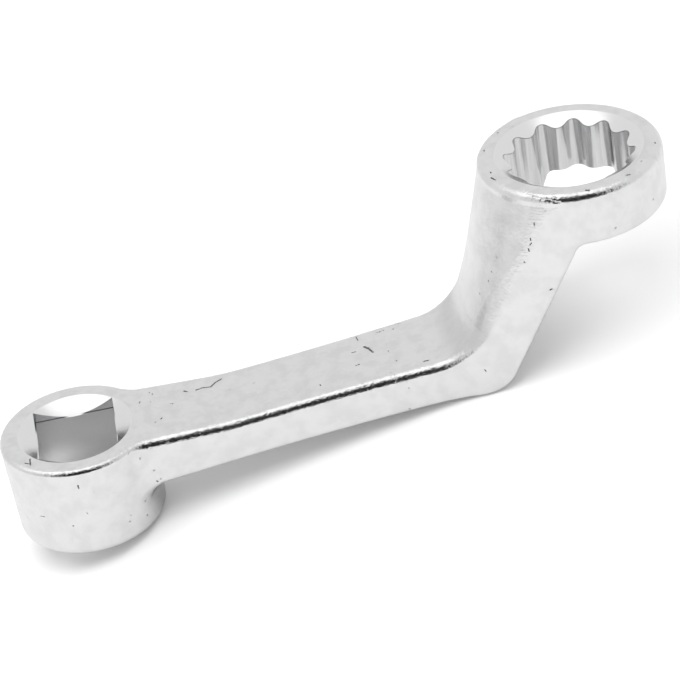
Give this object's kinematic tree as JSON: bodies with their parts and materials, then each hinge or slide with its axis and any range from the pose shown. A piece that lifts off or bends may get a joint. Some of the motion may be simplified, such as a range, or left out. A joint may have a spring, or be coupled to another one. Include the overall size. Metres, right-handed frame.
{
  "type": "camber adjustment wrench",
  "caption": "One-piece forged wrench: a square drive socket boss, a flat shank, a cranked arm and a raised ring with a twelve-point opening.",
  "frame": {"origin": "on the axis of the square drive, at the underside of the boss", "axes": "+Z along the drive axis and towards the ring's side of the shank, +X along the shank towards the ring, +Y across"},
  "size_m": [0.1126, 0.0294, 0.051],
  "materials": {
    "plated_steel": "bright plating over a shot-blasted drop forging"
  },
  "bodies": {
    "root": {"drive_boss": "plated_steel", "shank": "plated_steel", "crank_arm": "plated_steel", "ring_head": "plated_steel"}
  },
  "joints": []
}
